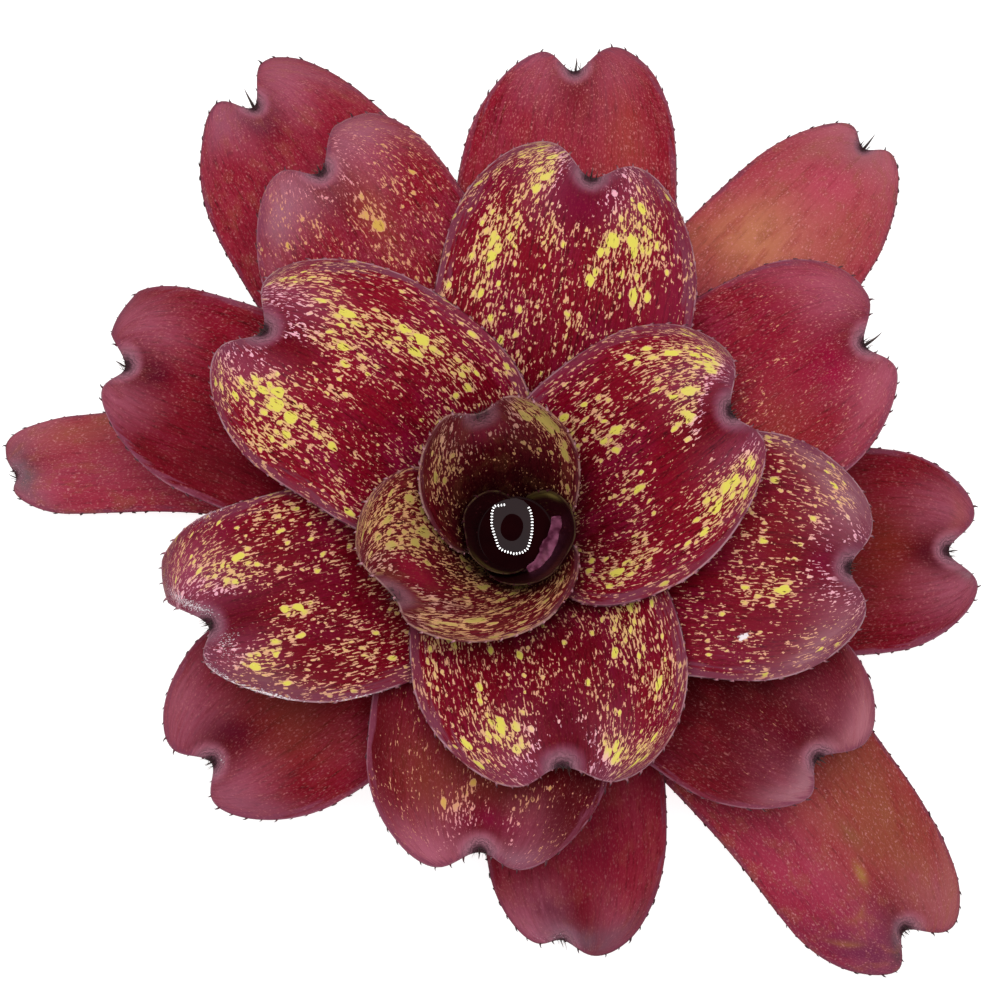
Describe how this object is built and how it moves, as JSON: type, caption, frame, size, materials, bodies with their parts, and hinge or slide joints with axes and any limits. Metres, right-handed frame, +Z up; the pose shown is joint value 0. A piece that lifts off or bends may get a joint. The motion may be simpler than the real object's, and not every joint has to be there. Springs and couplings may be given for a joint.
{
  "type": "neoregelia bromeliad",
  "caption": "Bromeliad plant: a low tank rosette of broad, notched strap leaves on a short cut stem, with water in its central cup, resting on a surface.",
  "frame": {"origin": "centre of the stem's flat cut base", "axes": "+Z up along the stem, +Y towards the top of the picture, +X to its right"},
  "size_m": [0.3657, 0.346, 0.1207],
  "materials": {
    "stem": "rough brown stem tissue",
    "tank_leaf": "satin leaf, dark crimson with yellow flecks",
    "inner_leaf": "satin leaf, crimson with yellow flecks and a purple margin",
    "middle_leaf": "satin leaf, crimson with a fine pale scurf",
    "outer_leaf": "satin leaf, dusty crimson to olive with a fine pale scurf",
    "tank_water": "still dark water"
  },
  "bodies": {
    "root": {"stem": "stem", "leaf_01": "tank_leaf", "leaf_02": "tank_leaf", "leaf_03": "tank_leaf", "leaf_04": "tank_leaf", "leaf_05": "inner_leaf", "leaf_06": "inner_leaf", "leaf_07": "inner_leaf", "leaf_08": "inner_leaf", "leaf_09": "inner_leaf", "leaf_10": "inner_leaf", "leaf_11": "middle_leaf", "leaf_12": "middle_leaf", "leaf_13": "middle_leaf", "leaf_14": "middle_leaf", "leaf_15": "middle_leaf", "leaf_16": "middle_leaf", "leaf_17": "middle_leaf", "leaf_18": "middle_leaf", "leaf_19": "outer_leaf", "leaf_20": "outer_leaf", "leaf_21": "outer_leaf", "leaf_22": "outer_leaf", "leaf_23": "outer_leaf", "tank_water": "tank_water"}
  },
  "joints": []
}
